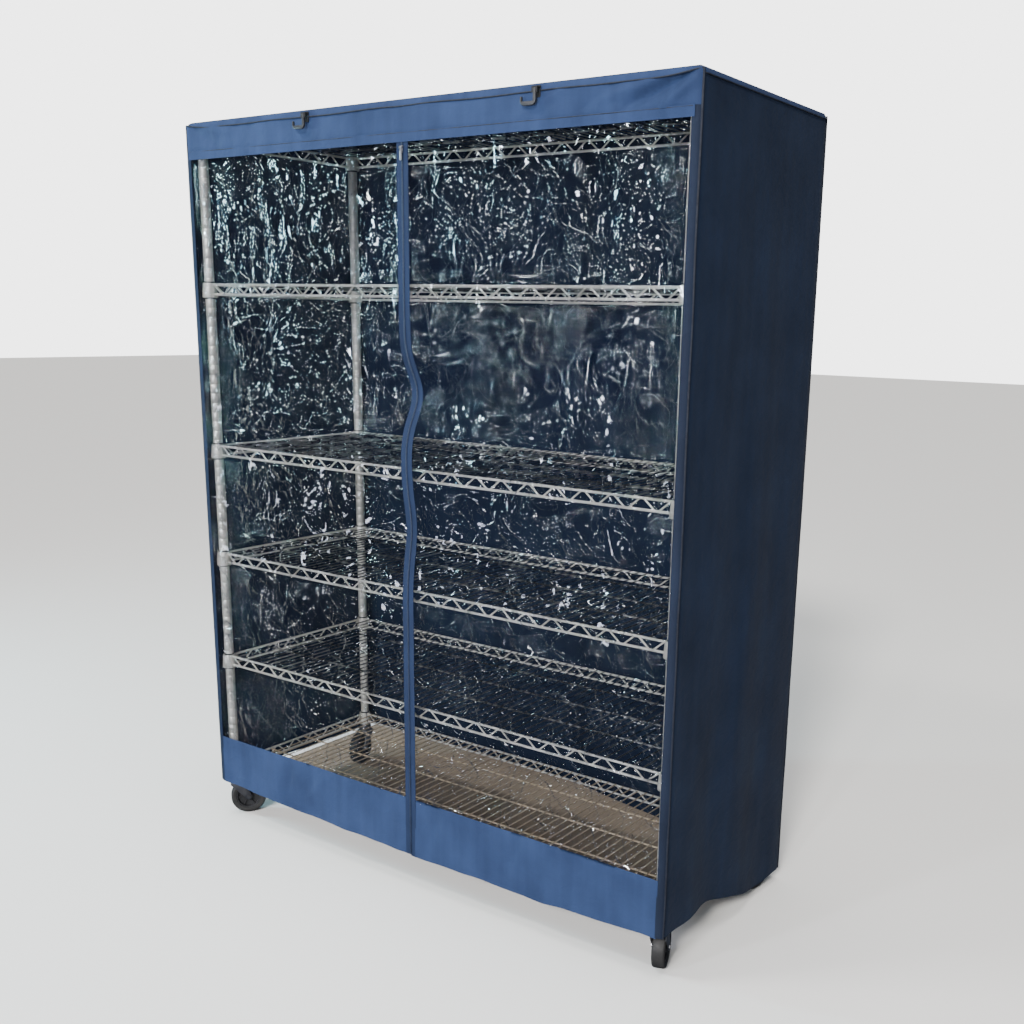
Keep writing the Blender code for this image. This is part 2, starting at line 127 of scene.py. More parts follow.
sun = bpy.data.lights.new("key", "SUN")
sun.energy, sun.angle, sun.color = 3.6, math.radians(9), (1.0, 0.985, 0.96)
key = bpy.data.objects.new("key", sun)
key.rotation_euler = Vector((-0.30, 1.0, -0.62)).to_track_quat("-Z", "Y").to_euler()
bpy.context.scene.collection.objects.link(key)
overhead = bpy.data.lights.new("overhead", "SUN")
overhead.energy, overhead.angle = 2.0, math.radians(30)
above = bpy.data.objects.new("overhead", overhead)
bpy.context.scene.collection.objects.link(above)
lamp("fill", (3.8, -1.2, 2.4), (2.0, 2.0), 30, (0.92, 0.96, 1.0))
lamp("glint_far", (-3.5, -1.6, 1.9), (0.22, 0.9), 85, (0.50, 0.86, 1.0))
lamp("glint_near", (-0.7, -4.3, 1.7), (0.25, 0.7), 85, (0.82, 0.86, 1.0))
lamp("glint_high", (-1.7, -2.3, 4.4), (1.0, 0.3), 110)
lamp("glint_right", (1.3, -4.2, 2.3), (0.3, 0.5), 75, (0.95, 0.95, 1.0))
lamp("glint_low", (-2.2, -3.2, 0.35), (0.8, 0.25), 14, (0.85, 0.86, 1.0))

sky = bpy.data.worlds.new("sky")
sky.use_nodes = True
bpy.context.scene.world = sky
sky_nodes, sky_links = sky.node_tree.nodes, sky.node_tree.links
seen, unseen = sky_nodes["Background"], sky_nodes.new("ShaderNodeBackground")
seen.inputs["Color"].default_value = (1.0, 1.0, 1.0, 1)
seen.inputs["Strength"].default_value = 4.0
unseen.inputs["Color"].default_value = (0.60, 0.72, 1.0, 1)
unseen.inputs["Strength"].default_value = 0.10
path, pick = sky_nodes.new("ShaderNodeLightPath"), sky_nodes.new("ShaderNodeMixShader")
sky_links.new(path.outputs["Is Camera Ray"], pick.inputs["Fac"])
sky_links.new(unseen.outputs[0], pick.inputs[1])
sky_links.new(seen.outputs[0], pick.inputs[2])
sky_links.new(pick.outputs[0], sky_nodes["World Output"].inputs["Surface"])

# ---------------------------------------------------------------------------------------------------------------
# Posts: one-inch chromed steel tube with a shallow ring groove every inch, which the shelves' sleeves lock into.
# Each has a black moulded cap pushed into its top. The chrome is a few years old: bright, with a faint haze.

INCH = 0.0254
corners = ("front_left", "front_right", "rear_left", "rear_right")


def handled():
    """A node group that mottles a value, as handling and cleaning dull a finish unevenly."""
    group = bpy.data.node_groups.new("handled", "ShaderNodeTree")
    for name, default in (("Scale", 30.0), ("Least", 0.2), ("Most", 0.4)):
        group.interface.new_socket(name, in_out="INPUT", socket_type="NodeSocketFloat").default_value = default
    group.interface.new_socket("Value", in_out="OUTPUT", socket_type="NodeSocketFloat")
    nodes, links = group.nodes, group.links
    given, result = nodes.new("NodeGroupInput"), nodes.new("NodeGroupOutput")
    place, cloud = nodes.new("ShaderNodeTexCoord"), nodes.new("ShaderNodeTexNoise")
    spread = nodes.new("ShaderNodeMapRange")
    cloud.inputs["Detail"].default_value = 5
    spread.inputs["From Min"].default_value, spread.inputs["From Max"].default_value = 0.3, 0.7
    links.new(place.outputs["Object"], cloud.inputs["Vector"])
    links.new(given.outputs["Scale"], cloud.inputs["Scale"])
    links.new(cloud.outputs["Fac"], spread.inputs["Value"])
    links.new(given.outputs["Least"], spread.inputs["To Min"])
    links.new(given.outputs["Most"], spread.inputs["To Max"])
    links.new(spread.outputs["Result"], result.inputs["Value"])
    return group


HANDLED = handled()


def hard_finish(name, colour, worn, roughness, metallic, scale, dents=0.0):
    """A hard material whose colour and gloss change a little over the surface, with faint dents if asked for."""
    material = bpy.data.materials.new(name)
    material.use_nodes = True
    nodes, links = material.node_tree.nodes, material.node_tree.links
    shader = nodes["Principled BSDF"]
    shader.inputs["Metallic"].default_value = metallic
    gloss, wear, mix = nodes.new("ShaderNodeGroup"), nodes.new("ShaderNodeGroup"), nodes.new("ShaderNodeMix")
    gloss.node_tree = wear.node_tree = HANDLED
    gloss.inputs["Scale"].default_value = scale
    gloss.inputs["Least"].default_value, gloss.inputs["Most"].default_value = roughness
    wear.inputs["Scale"].default_value = scale * 0.4
    wear.inputs["Least"].default_value, wear.inputs["Most"].default_value = 0.0, 1.0
    mix.data_type = "RGBA"
    mix.inputs["A"].default_value, mix.inputs["B"].default_value = (*colour, 1), (*worn, 1)
    links.new(wear.outputs["Value"], mix.inputs["Factor"])
    links.new(mix.outputs["Result"], shader.inputs["Base Color"])
    links.new(gloss.outputs["Value"], shader.inputs["Roughness"])
    if dents:
        bump, grain = nodes.new("ShaderNodeBump"), nodes.new("ShaderNodeGroup")
        grain.node_tree = HANDLED
        grain.inputs["Scale"].default_value = scale * 12
        grain.inputs["Least"].default_value, grain.inputs["Most"].default_value = 0.0, 1.0
        bump.inputs["Strength"].default_value = 0.35
        bump.inputs["Distance"].default_value = dents
        links.new(grain.outputs["Value"], bump.inputs["Height"])
        links.new(bump.outputs["Normal"], shader.inputs["Normal"])
    return material


CHROME = hard_finish("chromed_steel", (0.90, 0.87, 0.80), (0.78, 0.74, 0.65), (0.30, 0.46), 0.45, 18)
BLACK_PLASTIC = hard_finish("black_plastic", (0.014, 0.014, 0.015), (0.026, 0.026, 0.028), (0.36, 0.5), 0.0, 60, 0.0002)


def spun(outline, steps, closed):
    """A turned shape, from (radius, height) points. A closed outline makes a ring, and an open one ends on Z."""
    shape = bmesh.new()
    points = [shape.verts.new((radius, 0, height)) for radius, height in outline]
    edges = [shape.edges.new(pair) for pair in zip(points, points[1:])]
    if closed:
        edges.append(shape.edges.new((points[-1], points[0])))
    bmesh.ops.spin(
        shape, geom=points + edges, cent=(0, 0, 0), axis=(0, 0, 1), angle=math.tau, steps=steps, use_merge=True
    )
    bmesh.ops.remove_doubles(shape, verts=shape.verts, dist=1e-6)
    bmesh.ops.recalc_face_normals(shape, faces=shape.faces)
    return shape


def fit(name, shape, material, body="rack", instead_of=(), smooth=38):
    """Makes a finished shape a piece of the object: its material, its body, and the plain solid it stands for."""
    mesh = bpy.data.meshes.new(name)
    shape.to_mesh(mesh)
    shape.free()
    mesh.materials.append(material)
    mesh.shade_smooth()
    mesh.set_sharp_from_angle(angle=math.radians(smooth))
    piece = bpy.data.objects.new(name, mesh)
    bpy.context.scene.collection.objects.link(piece)
    if body:
        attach(piece, body)
    if instead_of:
        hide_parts(*instead_of)
    return piece


post_centre = {}
for corner in corners:
    low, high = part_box(f"post_{corner}")
    post_centre[corner] = Vector(((low.x + high.x) / 2, (low.y + high.y) / 2, 0))
    radius, bore, groove = (high.x - low.x) / 2, 0.0112, 0.0008
    outline = [(bore, high.z), (radius - groove, high.z), (radius, high.z - groove)]
    for ring in range(int((high.z - low.z - 0.01) / INCH), 0, -1):
        height = low.z + ring * INCH
        outline += [(radius, height + 0.0013), (radius - groove, height), (radius, height - 0.0013)]
    outline += [(radius, low.z + groove), (radius - groove, low.z), (bore, low.z)]
    post = spun(outline, 24, closed=True)
    post.transform(Matrix.Translation(post_centre[corner]))
    fit(f"grooved_post_{corner}", post, CHROME, instead_of=[f"post_{corner}"])

    low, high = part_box(f"post_cap_{corner}")
    rim = (high.x - low.x) / 2
    crown = [(0, high.z), (rim * 0.6, high.z - 0.0002), (rim - 0.002, high.z - 0.001), (rim, high.z - 0.003)]
    skirt = [(rim, high.z - 0.0042), (bore - 0.0006, high.z - 0.0044), (bore - 0.0006, low.z), (0, low.z)]
    cap = spun(crown + skirt, 32, closed=False)
    cap.transform(Matrix.Translation(post_centre[corner]))
    fit(f"moulded_cap_{corner}", cap, BLACK_PLASTIC, instead_of=[f"post_cap_{corner}"])

# ---------------------------------------------------------------------------------------------------------------
# Shelves: welded and chromed steel wire. Each side is two rails with a zigzag wire between them, the deck is thin
# wires an inch apart over three long stringers, and a tapered collar at each corner grips a split plastic sleeve.

rail_radius, zigzag_radius, deck_radius, stringer_radius = 0.003, 0.0019, 0.0017, 0.0024
zigzag_pitch, deck_pitch = 3 * INCH, INCH
post_x, post_y = post_centre["rear_right"].x, post_centre["rear_right"].y - middle_y


def bar(shape, start, end, radius, sides=8):
    """A straight round wire between two points."""
    start, end = Vector(start), Vector(end)
    run = end - start
    place = Matrix.Translation((start + end) / 2) @ run.to_track_quat("Z", "Y").to_matrix().to_4x4()
    bmesh.ops.create_cone(
        shape, cap_ends=True, segments=sides, radius1=radius, radius2=radius, depth=run.length, matrix=place
    )


def truss(shape, middle, along, length):
    """One side of a shelf: two rails and the zigzag wire that runs between them, welded to their outer sides."""
    top, foot = Vector((0, 0, -0.004)), Vector((0, 0, -0.029))
    reach = along * length / 2
    for rail in (top, foot):
        bar(shape, middle + rail - reach, middle + rail + reach, rail_radius, 10)
    bends = 2 * round(length / zigzag_pitch)
    step = along * length / bends
    flat = along * 0.004
    spots = [middle - reach + step * bend + (foot if bend % 2 else top) for bend in range(bends + 1)]
    for first, second in zip(spots, spots[1:]):
        bar(shape, first + flat, second - flat, zigzag_radius, 7)
        bar(shape, second - flat, second + flat, zigzag_radius, 7)


def wire_frame():
    """The four trussed sides of a shelf, its deck's top at z = 0."""
    shape = bmesh.new()
    long, short = post_x - 0.0155, post_y - 0.0155
    for side in (-1, 1):
        truss(shape, Vector((0, side * post_y, 0)), Vector((1, 0, 0)), 2 * long)
        truss(shape, Vector((side * post_x, 0, 0)), Vector((0, 1, 0)), 2 * short)
    return shape


def wire_deck():
    """The deck's wires and the stringers that they are welded to."""
    shape = bmesh.new()
    wires = int(2 * (post_x - 0.03) / deck_pitch)
    for wire in range(wires + 1):
        x = (wire - wires / 2) * deck_pitch
        bar(shape, (x, -post_y - 0.002, -deck_radius), (x, post_y + 0.002, -deck_radius), deck_radius, 8)
    for y in (-0.135, 0, 0.135):
        bar(shape, (-post_x, y, -0.0055), (post_x, y, -0.0055), stringer_radius, 8)
    return shape


# The decks' wires are the frames' chrome painted darker: painted shade, as the light reaches the decks less than the
# front trusses.
SHADED_DECK_CHROME = hard_finish("deck_wire_painted_shade", (0.46, 0.45, 0.44), (0.34, 0.33, 0.31), (0.20, 0.34), 1.0, 18)
# The bottom deck's wires are painted tan: a painted reflection of the warm floor under the rack.
FLOOR_REFLECTION_CHROME = hard_finish("floor_reflection_painted_chrome", (0.62, 0.50, 0.36), (0.46, 0.36, 0.24), (0.42, 0.6), 0.2, 18)
SLEEVE = hard_finish("sleeve_plastic", (0.020, 0.020, 0.021), (0.035, 0.035, 0.036), (0.4, 0.55), 0.0, 60)
for number in range(1, 7):
    deck_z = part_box(f"shelf_{number}")[1].z - 0.0005
    frame_wire, deck_wire = wire_frame(), wire_deck()
    for made in (frame_wire, deck_wire):
        made.transform(Matrix.Translation((0, middle_y, deck_z)))
    fit(f"shelf_frame_{number}", frame_wire, CHROME, instead_of=[f"shelf_{number}"])
    # Shelf 6's deck takes the painted floor reflection, and the other decks take the painted shade.
    deck_finish = FLOOR_REFLECTION_CHROME if number == 6 else SHADED_DECK_CHROME
    fit(f"shelf_deck_{number}", deck_wire, deck_finish)
    grips, sleeves = bmesh.new(), bmesh.new()
    for corner in corners:
        for target, outline in (
            (grips, [(0.0137, 0.0005), (0.0168, 0.0005), (0.0174, -0.0008), (0.0200, -0.0365), (0.0196, -0.0375),
                     (0.0158, -0.0375)]),
            (sleeves, [(0.0129, 0.004), (0.0136, 0.004), (0.0150, -0.041), (0.0129, -0.041)]),
        ):
            ring = spun(outline, 28, closed=True)
            ring.transform(Matrix.Translation(post_centre[corner] + Vector((0, 0, deck_z))))
            loose = bpy.data.meshes.new("ring")
            ring.to_mesh(loose)
            ring.free()
            target.from_mesh(loose)
            bpy.data.meshes.remove(loose)
    fit(f"shelf_collars_{number}", grips, CHROME)
    fit(f"split_sleeves_{number}", sleeves, SLEEVE)

# ---------------------------------------------------------------------------------------------------------------
# Casters: zinc-plated stem, bearing cup and pressed fork, a black moulded hub with ribs, and a soft black tyre.
# The stem is pushed into the post's foot, and each wheel trails behind its swivel.

ZINC = hard_finish("caster_steel", (0.30, 0.30, 0.31), (0.20, 0.20, 0.21), (0.34, 0.5), 1.0, 40, 0.0002)
RUBBER = hard_finish("black_rubber", (0.010, 0.010, 0.010), (0.022, 0.021, 0.020), (0.55, 0.8), 0.0, 50, 0.0003)


def rounded_plate(shape, outline, thickness, place, edge=0.0008):
    """A flat pressed plate from its outline, with softened edges, set in place."""
    plate = bmesh.new()
    face = plate.faces.new([plate.verts.new((x, z, -thickness / 2)) for x, z in outline])
    grown = bmesh.ops.extrude_face_region(plate, geom=[face])["geom"]
    bmesh.ops.translate(plate, verts=[v for v in grown if isinstance(v, bmesh.types.BMVert)], vec=(0, 0, thickness))
    bmesh.ops.recalc_face_normals(plate, faces=plate.faces)
    sharp = [e for e in plate.edges if abs(e.verts[0].co.z - e.verts[1].co.z) < 1e-6]
    bmesh.ops.bevel(plate, geom=sharp, offset=edge, offset_type="OFFSET", segments=2, profile=0.5, affect="EDGES",
                    material=-1)
    plate.transform(place)
    loose = bpy.data.meshes.new("plate")
    plate.to_mesh(loose)
    plate.free()
    shape.from_mesh(loose)
    bpy.data.meshes.remove(loose)


def arc(centre, radius, start, end, points):
    """Points on an arc between two angles in degrees."""
    for step in range(points):
        angle = math.radians(start + (end - start) * step / (points - 1))
        yield (centre[0] + radius * math.cos(angle), centre[1] + radius * math.sin(angle))


for corner in corners:
    stem_low, stem_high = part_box(f"caster_stem_{corner}")
    hub_low, hub_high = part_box(f"caster_hub_{corner}")
    tyre_low, tyre_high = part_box(f"caster_tyre_{corner}")
    fork_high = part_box(f"caster_fork_{corner}")[1]
    swivel = post_centre[corner]
    wheel = (hub_low + hub_high) / 2
    trail = Vector((wheel.x - swivel.x, wheel.y - swivel.y, 0))
    heading = math.atan2(trail.y, trail.x)
    at_swivel = Matrix.Translation(swivel) @ Matrix.Rotation(heading, 4, "Z")
    at_wheel = Matrix.Translation(wheel) @ Matrix.Rotation(heading, 4, "Z") @ Matrix.Rotation(math.pi / 2, 4, "X")
    wheel_radius, half_tyre = tyre_high.z - wheel.z, 0.016

    foot = stem_low.z
    stem = spun(
        [(0, stem_high.z), (0.009, stem_high.z), (0.0106, stem_high.z - 0.004), (0.0106, foot + 0.0150),
         (0.0155, foot + 0.0148), (0.0180, foot + 0.0100), (0.0190, foot + 0.0060), (0.0190, foot + 0.0006),
         (0.0184, foot), (0, foot)],
        40, closed=False,
    )
    stem.transform(Matrix.Translation(swivel))
    fit(f"stem_and_cup_{corner}", stem, ZINC, instead_of=[f"caster_stem_{corner}"])

    fork = spun(
        [(0, fork_high.z), (0.0185, fork_high.z), (0.0205, fork_high.z - 0.0015), (0.0210, fork_high.z - 0.005),
         (0.0205, fork_high.z - 0.0075), (0, fork_high.z - 0.0075)],
        40, closed=False,
    )
    bridge, arm = 0.1055, trail.length
    cheek = [(-0.016, bridge), (-0.016, bridge - 0.012), *arc((arm, wheel.z), 0.009, 205, 385, 14), (0.023, bridge)]
    for side in (-1, 1):
        upright = Matrix.Translation((0, side * 0.0183, 0)) @ Matrix.Rotation(math.pi / 2, 4, "X")
        rounded_plate(fork, cheek, 0.003, upright)
    top_plate = [(-0.016, -0.0195), (0.023, -0.0195), (0.023, 0.0195), (-0.016, 0.0195)]
    rounded_plate(fork, top_plate, 0.003, Matrix.Translation((0, 0, bridge - 0.001)))
    fork.transform(at_swivel)
    fit(f"pressed_fork_{corner}", fork, ZINC, f"caster_{corner}", [f"caster_fork_{corner}"])

    bolt = spun(
        [(0, 0.0225), (0.0058, 0.0225), (0.0064, 0.0216), (0.0064, 0.0202), (0.0040, 0.0202), (0.0040, -0.0202),
         (0.0064, -0.0202), (0.0064, -0.0232), (0.0036, -0.0232), (0.0036, -0.0243), (0, -0.0243)],
        6, closed=False,
    )
    bolt.transform(at_wheel)
    fit(f"axle_bolt_{corner}", bolt, ZINC, f"caster_{corner}", [f"caster_axle_{corner}"])

    hub = spun(
        [(0.0045, 0.0160), (0.0105, 0.0160), (0.0115, 0.0150), (0.0125, 0.0070), (0.0310, 0.0055), (0.0325, 0.0125),
         (0.0360, 0.0130), (0.0360, -0.0130), (0.0325, -0.0125), (0.0310, -0.0055), (0.0125, -0.0070),
         (0.0115, -0.0150), (0.0105, -0.0160), (0.0045, -0.0160)],
        48, closed=True,
    )
    for rib in range(6):
        spoke = bmesh.ops.create_cube(hub, size=1)["verts"]
        bmesh.ops.scale(hub, verts=spoke, vec=(0.0205, 0.0026, 0.0210))
        bmesh.ops.translate(hub, verts=spoke, vec=(0.0220, 0, 0))
        bmesh.ops.rotate(hub, verts=spoke, cent=(0, 0, 0), matrix=Matrix.Rotation(rib * math.tau / 6, 3, "Z"))
    hub.transform(at_wheel)
    fit(f"ribbed_hub_{corner}", hub, BLACK_PLASTIC, f"wheel_{corner}", [f"caster_hub_{corner}"])

    tread = [(wheel_radius - 0.006 * (1 - math.cos(a)), half_tyre - 0.006 * (1 - math.sin(a)) * 1.1)
             for a in (math.pi / 2, math.pi / 3, math.pi / 6, 0)]
    outer = [(wheel_radius - 0.006, half_tyre), (wheel_radius - 0.0028, half_tyre - 0.0008),
             (wheel_radius - 0.0008, half_tyre - 0.0028), (wheel_radius, half_tyre - 0.006)]
    outline = [(0.0364, half_tyre - 0.002), *outer, *[(r, -z) for r, z in reversed(outer)], (0.0364, 0.002 - half_tyre)]
    tyre = spun(outline, 64, closed=True)
    tyre.transform(at_wheel)
    fit(f"soft_tyre_{corner}", tyre, RUBBER, f"wheel_{corner}", [f"caster_tyre_{corner}"])

# ---------------------------------------------------------------------------------------------------------------
# The cover's cloth: coated polyester canvas, sewn from flat panels with the seams inside. The front is a lighter
# blue, and the sides and back a navy. It hangs a little loose on the posts, so every panel has soft folds in it.

bend = 0.014
front_run = half_width - bend
bend_run = bend * math.pi / 2
side_run = back_y - front_y - 2 * bend
half_round = 2 * front_run + 2 * bend_run + side_run
front_seam = front_run + 0.6 * bend_run
rear_seam = front_run + 1.5 * bend_run + side_run


def leant(point):
    """The same point with the cover's back taken in at the top, where it hugs the rack, and flared out at its foot."""
    drop = min(max((top_z - point.z) / (top_z - hem_z), 0.0), 1.1)
    back = (point.y - front_y) / (back_y - front_y)
    return point + Vector((0, max(back, 0.0) * (0.032 * drop ** 0.8 - 0.008), 0))


def on_wall(run, height, lift=0.0):
    """A point on the hanging walls. The run is measured round the cover from the middle of its front."""
    return leant(upright_wall(run, height, lift))


def upright_wall(run, height, lift):
    """The same point before the back leans."""
    side, run = math.copysign(1, run), abs(run)
    if run <= front_run:
        return Vector((side * run, front_y - lift, height))
    run -= front_run
    reach = bend + lift
    if run <= bend_run:
        angle = run / bend
        return Vector((side * (front_run + reach * math.sin(angle)), front_y + bend - reach * math.cos(angle), height))
    run -= bend_run
    if run <= side_run:
        return Vector((side * (half_width + lift), front_y + bend + run, height))
    run -= side_run
    if run <= bend_run:
        angle = run / bend
        return Vector((side * (front_run + reach * math.cos(angle)), back_y - bend + reach * math.sin(angle), height))
    return Vector((side * (front_run - (run - bend_run)), back_y + lift, height))


def fold(run, height, start, end, width, depth):
    """How far one soft fold between two points pushes the cloth out, fading towards both of its ends."""
    along = Vector((end[0] - start[0], end[1] - start[1]))
    offset = Vector((run - start[0], height - start[1]))
    share = offset.dot(along) / along.length_squared
    if not 0 < share < 1:
        return 0.0
    apart = (offset - along * share).length / width
    return depth * math.exp(-apart * apart) * math.sin(math.pi * share) ** 0.7


def thickened(shape, thickness):
    """Gives a single layer of faces its thickness, on its inner side."""
    inner = bmesh.ops.extrude_face_region(shape, geom=shape.faces[:])["geom"]
    shape.normal_update()
    for vert in [part for part in inner if isinstance(part, bmesh.types.BMVert)]:
        vert.co -= vert.normal * thickness
    bmesh.ops.recalc_face_normals(shape, faces=shape.faces)


def panel(runs, foot, head, step, lift, thickness=0.0012, place=on_wall):
    """A cloth panel: a grid between two runs and two edges, pushed out by lift, with its flat cut as its UV map."""
    left, right = runs
    middle = (left + right) / 2
    columns = max(2, round((right - left) / step))
    rows = max(2, round((head(middle) - foot(middle)) / step))
    shape = bmesh.new()
    flat = shape.loops.layers.uv.new("cloth")
    bmesh.ops.create_grid(shape, x_segments=columns, y_segments=rows, size=0.5)
    for face in shape.faces:
        for loop in face.loops:
            run = left + (loop.vert.co.x + 0.5) * (right - left)
            loop[flat].uv = (run, foot(run) + (loop.vert.co.y + 0.5) * (head(run) - foot(run)))
    for vert in shape.verts:
        run = left + (vert.co.x + 0.5) * (right - left)
        height = foot(run) + (vert.co.y + 0.5) * (head(run) - foot(run))
        vert.co = place(run, height, lift(run, height))
    shape.normal_update()
    middle_face = min(shape.faces, key=lambda face: (face.calc_center_median() - place(middle, 1.0)).length)
    centre = middle_face.calc_center_median()
    if middle_face.normal.dot(Vector((centre.x, centre.y - middle_y, 0))) < 0:
        bmesh.ops.reverse_faces(shape, faces=shape.faces[:])
    if thickness:
        thickened(shape, thickness)
    return shape


def woven():
    """A node group for plain weave: a mottled mask for the colour, and the height of the threads and of fine creases."""
    group = bpy.data.node_groups.new("woven", "ShaderNodeTree")
    group.interface.new_socket("Mottle", in_out="OUTPUT", socket_type="NodeSocketFloat")
    group.interface.new_socket("Height", in_out="OUTPUT", socket_type="NodeSocketFloat")
    nodes, links = group.nodes, group.links
    result = nodes.new("NodeGroupOutput")
    cut = nodes.new("ShaderNodeUVMap")
    cut.uv_map = "cloth"

    def sum_of(operation, first, second):
        node = nodes.new("ShaderNodeMath")
        node.operation = operation
        for socket, value in zip(node.inputs, (first, second)):
            if isinstance(value, (int, float)):
                socket.default_value = value
            else:
                links.new(value, socket)
        return node.outputs["Value"]

    threads = None
    for way in ((1300, 60, 1), (60, 1300, 1)):
        turned, yarn = nodes.new("ShaderNodeMapping"), nodes.new("ShaderNodeTexNoise")
        turned.inputs["Scale"].default_value = way
        yarn.inputs["Scale"].default_value = 1.0
        yarn.inputs["Detail"].default_value = 0
        links.new(cut.outputs["UV"], turned.inputs["Vector"])
        links.new(turned.outputs["Vector"], yarn.inputs["Vector"])
        threads = sum_of("ADD", threads, yarn.outputs["Fac"]) if threads else yarn.outputs["Fac"]
    stretch, streaks = nodes.new("ShaderNodeMapping"), nodes.new("ShaderNodeTexNoise")
    stretch.inputs["Scale"].default_value = (26, 2.2, 1)
    streaks.inputs["Scale"].default_value = 1.0
    streaks.inputs["Detail"].default_value = 4
    links.new(cut.outputs["UV"], stretch.inputs["Vector"])
    links.new(stretch.outputs["Vector"], streaks.inputs["Vector"])
    clouds, creases = nodes.new("ShaderNodeTexNoise"), nodes.new("ShaderNodeTexNoise")
    clouds.inputs["Scale"].default_value, clouds.inputs["Detail"].default_value = 6.0, 5
    creases.inputs["Scale"].default_value, creases.inputs["Detail"].default_value = 34.0, 6
    creases.inputs["Distortion"].default_value = 0.6
    links.new(cut.outputs["UV"], clouds.inputs["Vector"])
    links.new(cut.outputs["UV"], creases.inputs["Vector"])
    mottle = sum_of("ADD", sum_of("MULTIPLY", clouds.outputs["Fac"], 0.6), sum_of("MULTIPLY", streaks.outputs["Fac"], 0.4))
    links.new(mottle, result.inputs["Mottle"])
    links.new(sum_of("ADD", creases.outputs["Fac"], sum_of("MULTIPLY", threads, 0.05)), result.inputs["Height"])
    return group


WOVEN = woven()


def canvas(name, dark, light, relief=0.0035, sheen=0.03):
    """Coated canvas between two shades, with its weave and fine creases in relief."""
    material = bpy.data.materials.new(name)
    material.use_nodes = True
    nodes, links = material.node_tree.nodes, material.node_tree.links
    shader = nodes["Principled BSDF"]
    shader.inputs["Roughness"].default_value = 0.78
    shader.inputs["Specular IOR Level"].default_value = 0.2
    shader.inputs["Sheen Weight"].default_value = sheen
    shader.inputs["Sheen Roughness"].default_value = 0.4
    weave, spread, mix, bump = (
        nodes.new("ShaderNodeGroup"), nodes.new("ShaderNodeMapRange"), nodes.new("ShaderNodeMix"),
        nodes.new("ShaderNodeBump"),
    )
    weave.node_tree = WOVEN
    spread.inputs["From Min"].default_value, spread.inputs["From Max"].default_value = 0.36, 0.64
    mix.data_type = "RGBA"
    mix.inputs["A"].default_value, mix.inputs["B"].default_value = (*dark, 1), (*light, 1)
    bump.inputs["Strength"].default_value = 0.6
    bump.inputs["Distance"].default_value = relief
    links.new(weave.outputs["Mottle"], spread.inputs["Value"])
    links.new(spread.outputs["Result"], mix.inputs["Factor"])
    links.new(mix.outputs["Result"], shader.inputs["Base Color"])
    links.new(weave.outputs["Height"], bump.inputs["Height"])
    links.new(bump.outputs["Normal"], shader.inputs["Normal"])
    return material


BLUE = canvas("blue_canvas", (0.0110, 0.0230, 0.0640), (0.0200, 0.0385, 0.1000))
NAVY = canvas("navy_canvas", (0.0030, 0.0090, 0.0265), (0.0060, 0.0150, 0.0390))
STRIP_BLUE = canvas("strip_canvas", (0.0045, 0.0085, 0.0210), (0.0080, 0.0140, 0.0320))

# ---------------------------------------------------------------------------------------------------------------
# Sides and back: one navy panel each, hanging from the roof's seam. They billow gently between the posts and their
# hems wander, because nothing holds them at the bottom.

roof_drop = 0.016       # the roof's cloth turns this far down before the seam


def eased(value, start, end):
    """0 before the start and 1 after the end, turning smoothly between them."""
    share = min(max((value - start) / (end - start), 0.0), 1.0)
    return share * share * (3 - 2 * share)


def hem(run):
    """The hem's height along the run: slack in the middle of the front, and drooping round the right rear corner."""
    wander = noise.noise(Vector((run * 4.1, 3.7, 0.0))) * 0.006 + noise.noise(Vector((run * 11.0, 9.1, 0.0))) * 0.004
    slack = 0.015 * max(0.0, 1 - (run / front_run) ** 2)
    droop = 0.078 * eased(run, front_seam + 0.30 * side_run, front_seam + 0.86 * side_run)
    droop *= 1 - eased(run, rear_seam - 0.02, half_round)
    return hem_z - 0.001 + wander - slack - droop


def top_seam(run):
    return top_z - roof_drop + 0.002


def billow(run, height):
    """Long upright folds that deepen towards the hem, and slow swells, held flat along the top seam and at corners."""
    drop = (top_z - height) / (top_z - hem_z)
    along = (abs(run) - front_seam) / (rear_seam - front_seam)
    held = math.sin(math.pi * min(max(along, 0.0), 1.0)) ** 0.5
    swell = noise.noise(Vector((run * 2.6, height * 0.9, 5.0))) * 0.012
    ripple = math.sin(run * 30 + 2.5 * noise.noise(Vector((run * 2, height * 1.3, 2.0)))) * 0.0045 * drop
    crease = -abs(noise.noise(Vector((run * 7, height * 2.2, 8.0)))) * 0.006
    loose = (swell * min(1, drop * 4) + ripple + crease * max(drop, 0.0) ** 0.5) * held
    return max(loose, -0.0025 - 0.016 * held ** 6)


for side, name in ((-1, "left"), (1, "right")):
    runs = sorted((side * front_seam, side * rear_seam))
    wall = panel(runs, hem, top_seam, 0.012, billow)
    piece = fit(f"side_panel_{name}", wall, NAVY, instead_of=[f"cover_side_{name}"])

back_half = half_round - rear_seam


def on_back(run, height, lift=0.0):
    """A point on the back wall, its run measured from the middle of the back."""
    return on_wall(math.copysign(half_round - abs(run), run), height, lift)


def back_billow(run, height):
    drop = (top_z - height) / (top_z - hem_z)
    held = math.cos(math.pi / 2 * run / back_half) ** 0.5 if abs(run) < back_half else 0.0
    swell = noise.noise(Vector((run * 1.7, height * 0.8, 15.0))) * 0.011
    ripple = math.sin(run * 24 + 3 * noise.noise(Vector((run * 1.5, height, 12.0)))) * 0.004 * drop
    return max((swell * min(1, drop * 4) + ripple) * held, -0.004)


def back_hem(run):
    return hem(math.copysign(half_round - abs(run), run))


wall = panel((-back_half, back_half), back_hem, top_seam, 0.014, back_billow, place=on_back)
piece = fit("back_panel", wall, NAVY, instead_of=["cover_back"])

# ---------------------------------------------------------------------------------------------------------------
# Roof: a light blue panel laid over the top shelf, turned down all round to its seam. It sags a little between the
# shelf's rails, and the front seam sags between the posts and is pulled up at the two corners.


